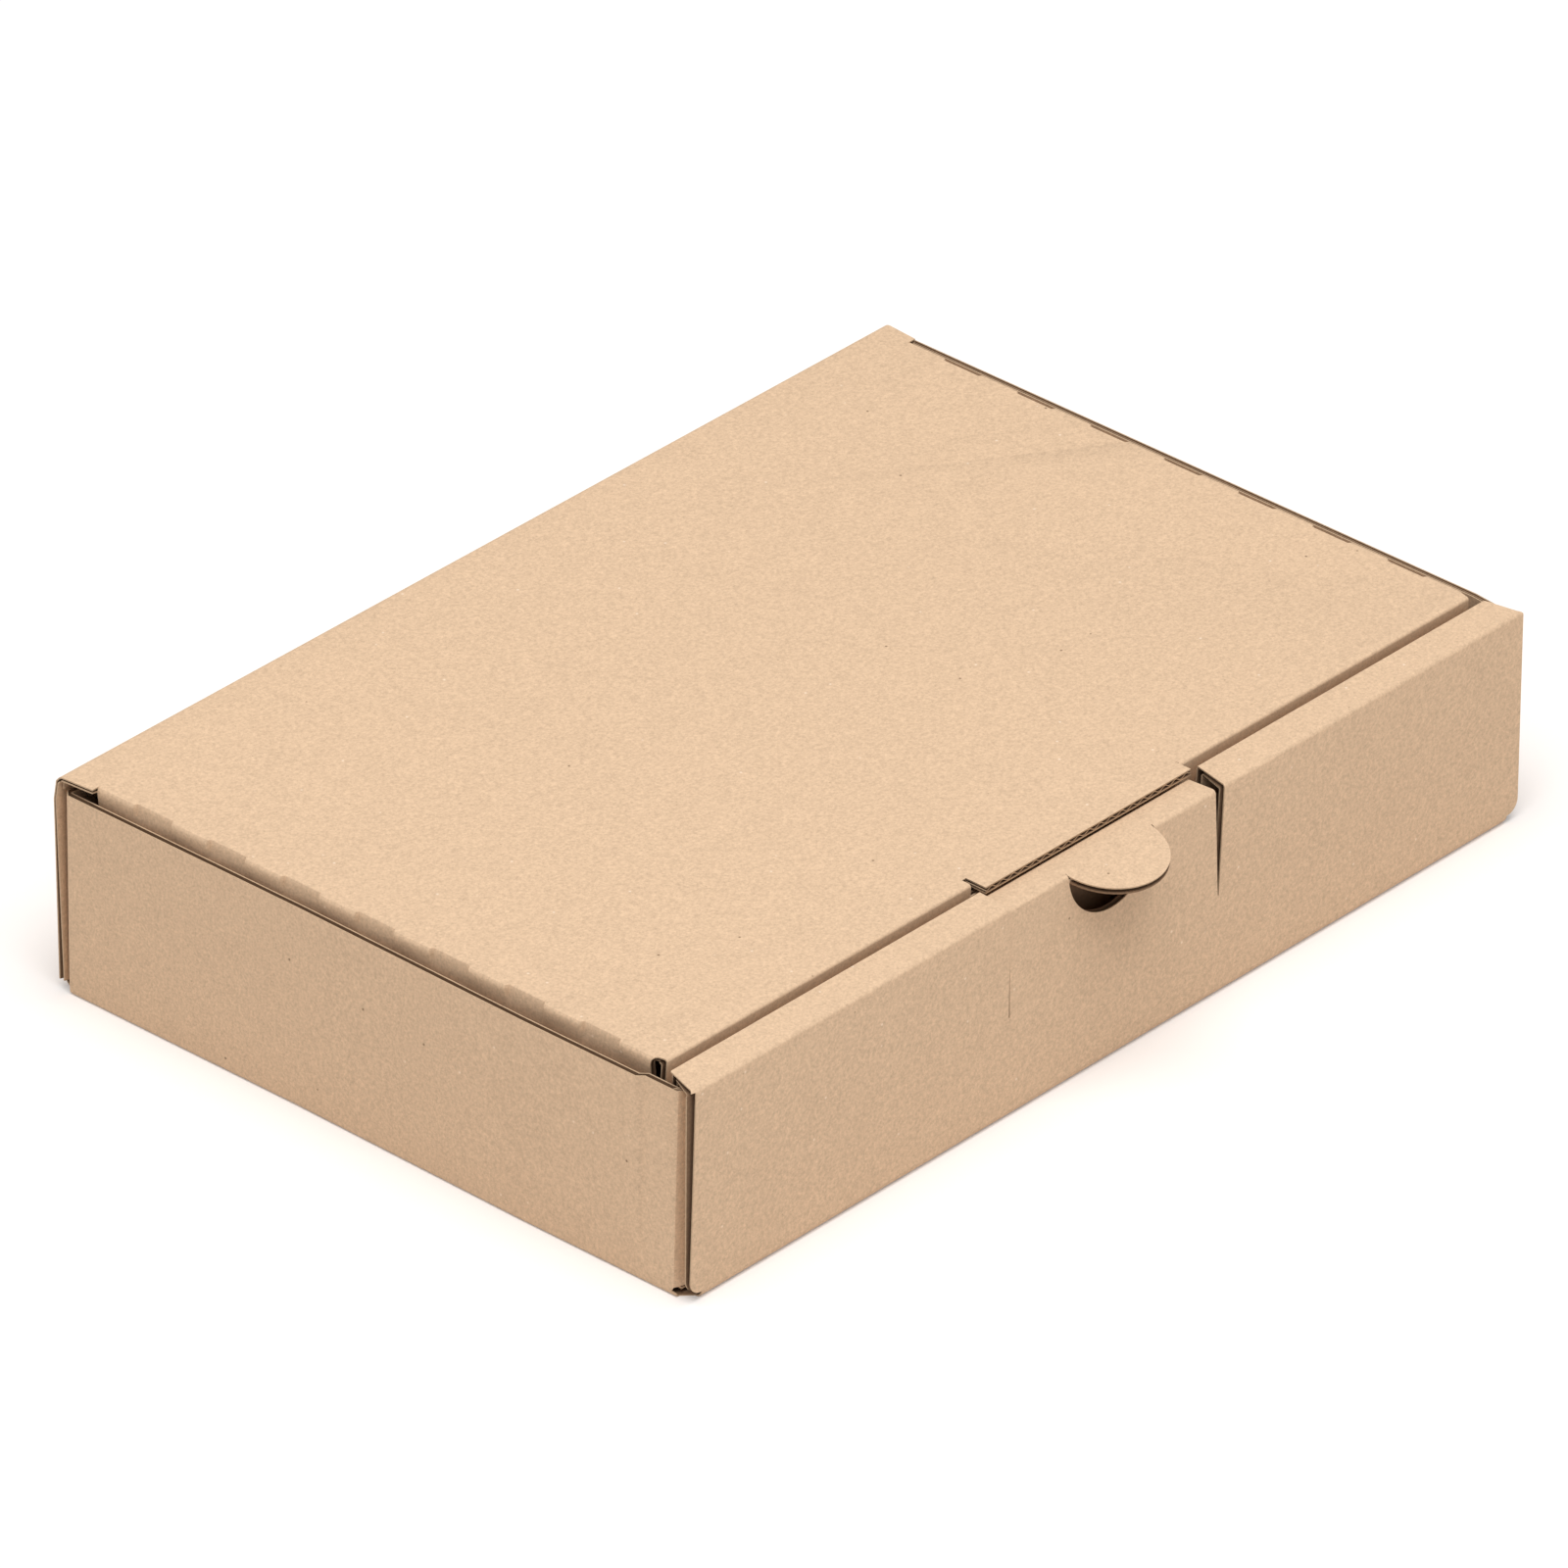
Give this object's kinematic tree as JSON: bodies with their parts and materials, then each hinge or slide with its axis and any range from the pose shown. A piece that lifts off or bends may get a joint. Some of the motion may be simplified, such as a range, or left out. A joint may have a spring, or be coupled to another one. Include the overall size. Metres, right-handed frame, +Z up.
{
  "type": "cardboard mailing box",
  "caption": "Flat rectangular mailing box folded from a sheet of thin corrugated board, with a hinged lid tucked behind a roll-over front and a thumb tab.",
  "frame": {"origin": "middle of the underside of the floor, between the outer faces of the front and back walls", "axes": "+X along the long side, to the right when seen from the front; +Y from the front wall to the back wall; +Z up"},
  "size_m": [0.246, 0.1801, 0.049],
  "materials": {
    "board": "matt unbleached kraft liner, finely mottled, with brown cut edges that show the flutes"
  },
  "bodies": {
    "tray": {"tray": "board"},
    "lid": {"lid": "board"}
  },
  "joints": [
    {"name": "lid_hinge", "type": "hinge", "parent": "tray", "child": "lid", "pos_m": [0, 0.08422, 0.04847], "axis": [-1, 0, 0], "range_deg": [0, 180]}
  ]
}
